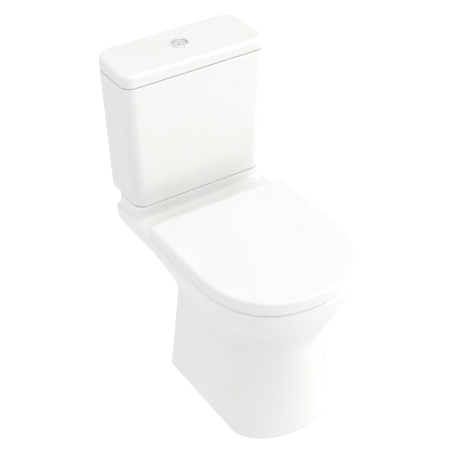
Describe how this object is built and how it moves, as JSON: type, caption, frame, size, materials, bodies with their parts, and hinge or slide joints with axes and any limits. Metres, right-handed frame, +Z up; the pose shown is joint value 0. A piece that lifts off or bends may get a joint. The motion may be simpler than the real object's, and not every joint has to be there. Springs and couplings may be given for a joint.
{
  "type": "close coupled toilet",
  "caption": "White close coupled toilet: glazed pan on a flared pedestal, tapered cistern with a dual flush push button, wrap-over hinged seat and lid.",
  "frame": {"origin": "on the floor, midway between the toilet's front and its back and on its plane of symmetry", "axes": "+Z up, +Y towards the wall behind the cistern, +X to the user's left when seated (to the right when facing the toilet)"},
  "size_m": [0.361, 0.615, 0.7725],
  "materials": {
    "pan_clay": "gloss white glaze",
    "cistern_clay": "gloss white glaze",
    "seat_plastic": "gloss white moulded duroplast",
    "chrome": "polished chrome plate",
    "zinc_steel": "zinc plated steel",
    "black_rubber": "matt black rubber",
    "clear_buffer": "translucent soft plastic pad",
    "white_plastic": "moulded white plastic",
    "grey_plastic": "moulded grey plastic",
    "blue_plastic": "moulded blue plastic",
    "brass": "turned brass"
  },
  "bodies": {
    "base": {"pan": "pan_clay", "outlet_spigot": "pan_clay", "foot_lugs": "pan_clay", "hinge_posts": "chrome", "hinge_pins": "zinc_steel", "seat_studs": "zinc_steel", "seat_washers": "black_rubber", "seat_wing_nuts": "white_plastic", "cistern_tank": "cistern_clay", "coupling_plate": "zinc_steel", "coupling_bolts": "zinc_steel", "bolt_seals": "black_rubber", "coupling_washers": "zinc_steel", "coupling_wing_nuts": "zinc_steel", "doughnut_seal": "black_rubber", "valve_tail": "white_plastic", "tail_seal": "black_rubber", "tail_backnut": "white_plastic", "valve_cage": "grey_plastic", "valve_cap": "blue_plastic", "lever_pins": "zinc_steel", "fill_shank": "white_plastic", "shank_seal": "black_rubber", "shank_backnut": "white_plastic", "fill_head": "grey_plastic", "arm_pin": "zinc_steel"},
    "seat_ring": {"seat_ring": "seat_plastic", "ring_buffers": "clear_buffer"},
    "seat_lid": {"seat_lid": "seat_plastic", "lid_buffers": "clear_buffer"},
    "cistern_lid": {"cistern_lid": "cistern_clay", "button_bezel": "chrome", "bezel_nut": "white_plastic"},
    "full_button": {"full_flush_button": "chrome", "full_flush_rod": "grey_plastic"},
    "half_button": {"half_flush_button": "chrome", "half_flush_rod": "grey_plastic"},
    "flush_tower": {"overflow_tube": "white_plastic", "flush_seal": "black_rubber"},
    "full_lever": {"full_flush_lever": "white_plastic"},
    "half_lever": {"half_flush_lever": "white_plastic"},
    "float_arm": {"float_arm": "white_plastic", "float_screw": "grey_plastic", "float_cup": "blue_plastic"},
    "fill_plunger": {"fill_plunger": "brass"}
  },
  "joints": [
    {"name": "seat_ring_hinge", "type": "hinge", "parent": "base", "child": "seat_ring", "pos_m": [0, 0.075, 0.422], "axis": [-1, 0, 0], "range_deg": [0, 95]},
    {"name": "seat_lid_hinge", "type": "hinge", "parent": "seat_ring", "child": "seat_lid", "pos_m": [0, 0.075, 0.422], "axis": [1, 0, 0], "range_deg": [-98, 0]},
    {"name": "cistern_lid_lift", "type": "slide", "parent": "base", "child": "cistern_lid", "axis": [0, 0, 1], "range_m": [0, 0.18]},
    {"name": "full_flush_press", "type": "slide", "parent": "cistern_lid", "child": "full_button", "axis": [0, 0, -1], "range_m": [0, 0.006], "stiffness_N_per_m": 400, "springref_m": -0.004},
    {"name": "half_flush_press", "type": "slide", "parent": "cistern_lid", "child": "half_button", "axis": [0, 0, -1], "range_m": [0, 0.006], "stiffness_N_per_m": 400, "springref_m": -0.004},
    {"name": "flush_tower_lift", "type": "slide", "parent": "base", "child": "flush_tower", "axis": [0, 0, 1], "range_m": [0, 0.0048]},
    {"name": "full_lever_turn", "type": "hinge", "parent": "base", "child": "full_lever", "pos_m": [0.0146, 0.221, 0.6], "axis": [-1, 0, 0], "range_deg": [0, 20.63]},
    {"name": "half_lever_turn", "type": "hinge", "parent": "base", "child": "half_lever", "pos_m": [-0.0146, 0.221, 0.6], "axis": [-1, 0, 0], "range_deg": [0, 20.63]},
    {"name": "float_arm_swing", "type": "hinge", "parent": "base", "child": "float_arm", "pos_m": [0.117, 0.272, 0.69], "axis": [0, 1, 0], "range_deg": [0, 28]},
    {"name": "fill_plunger_press", "type": "slide", "parent": "base", "child": "fill_plunger", "axis": [0, 0, -1], "range_m": [0, 0.00386]}
  ],
  "couplings": [
    {"joint": "flush_tower_lift", "follows": "full_flush_press", "ratio": 0.8},
    {"joint": "full_lever_turn", "follows": "full_flush_press", "rad_per_m": 60},
    {"joint": "half_lever_turn", "follows": "half_flush_press", "rad_per_m": 60},
    {"joint": "fill_plunger_press", "follows": "float_arm_swing", "m_per_rad": 0.00789}
  ]
}
